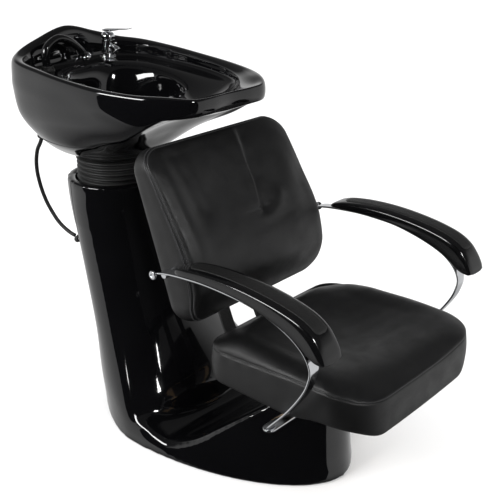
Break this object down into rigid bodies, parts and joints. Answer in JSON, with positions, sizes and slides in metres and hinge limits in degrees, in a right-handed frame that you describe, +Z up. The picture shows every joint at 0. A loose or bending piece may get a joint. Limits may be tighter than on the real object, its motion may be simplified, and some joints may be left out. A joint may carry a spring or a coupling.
{
  "type": "shampoo backwash unit",
  "caption": "Salon backwash unit: moulded base with a leaning tower, tilting wash bowl on a bellows, mixer tap, handset and padded chair.",
  "frame": {"origin": "on the floor, under the middle of the unit's bounding box, on its plane of symmetry", "axes": "+Z up, -Y the way the sitter faces, +X to the sitter's left"},
  "size_m": [0.64, 1.2299, 1.0171],
  "materials": {
    "gloss_shell": "moulded gloss black shell",
    "leatherette": "satin black upholstery",
    "chrome": "polished chrome",
    "rubber": "matte black rubber",
    "arm_lacquer": "polished black arm pad",
    "arm_soft": "soft black insert",
    "satin_plastic": "satin black plastic",
    "black_steel": "powder-coated black steel",
    "zinc_steel": "zinc-plated steel",
    "plywood": "plain plywood"
  },
  "bodies": {
    "stand": {"base_shell": "gloss_shell", "floor_plate": "black_steel", "bowl_post": "black_steel", "seat_post": "black_steel", "post_bracket": "zinc_steel", "tilt_pin": "chrome", "bellows": "rubber", "collar_clamp": "chrome", "spray_hose": "rubber", "tower_gland": "rubber", "seat_board": "plywood", "seat_frame": "black_steel", "seat_cushion": "leatherette", "back_cushion": "leatherette", "back_board": "satin_plastic", "back_bracket_right": "black_steel", "back_bracket_left": "black_steel", "arm_bar_right": "chrome", "arm_pad_right": "arm_lacquer", "arm_inset_right": "arm_soft", "arm_bolt_right": "chrome", "arm_spacer_right": "chrome", "arm_foot_right": "chrome", "arm_foot_bolt_right": "zinc_steel", "arm_bar_left": "chrome", "arm_pad_left": "arm_lacquer", "arm_inset_left": "arm_soft", "arm_bolt_left": "chrome", "arm_spacer_left": "chrome", "arm_foot_left": "chrome", "arm_foot_bolt_left": "zinc_steel"},
    "bowl": {"bowl": "gloss_shell", "bowl_bracket": "zinc_steel", "drain_flange": "chrome", "drain_tail": "chrome", "drain_nut": "zinc_steel", "faucet_base": "chrome", "faucet_body": "chrome", "faucet_outlet": "chrome", "spray_holder": "satin_plastic", "bowl_gland": "rubber"},
    "strainer": {"strainer_basket": "chrome"},
    "tap_cap": {"faucet_cap": "chrome"},
    "tap_lever": {"faucet_lever": "chrome"},
    "handset": {"spray_handset": "satin_plastic", "spray_rose": "chrome"}
  },
  "joints": [
    {"name": "bowl_tilt", "type": "hinge", "parent": "stand", "child": "bowl", "pos_m": [0, 0.455, 0.645], "axis": [-1, 0, 0], "range_deg": [0, 12], "deforming": ["bellows", "spray_hose"]},
    {"name": "lever_swivel", "type": "hinge", "parent": "bowl", "child": "tap_cap", "pos_m": [0.085, 0.52373, 0.97567], "axis": [0, -0.1045, 0.9945], "range_deg": [-45, 45]},
    {"name": "lever_lift", "type": "hinge", "parent": "tap_cap", "child": "tap_lever", "pos_m": [0.085, 0.53364, 0.99556], "axis": [-1, 0, 0], "range_deg": [0, 25]},
    {"name": "handset_lift", "type": "slide", "parent": "bowl", "child": "handset", "axis": [0, 0, 1], "range_m": [0, 0.08]},
    {"name": "strainer_lift", "type": "slide", "parent": "bowl", "child": "strainer", "axis": [0, 0, 1], "range_m": [0, 0.06]}
  ]
}
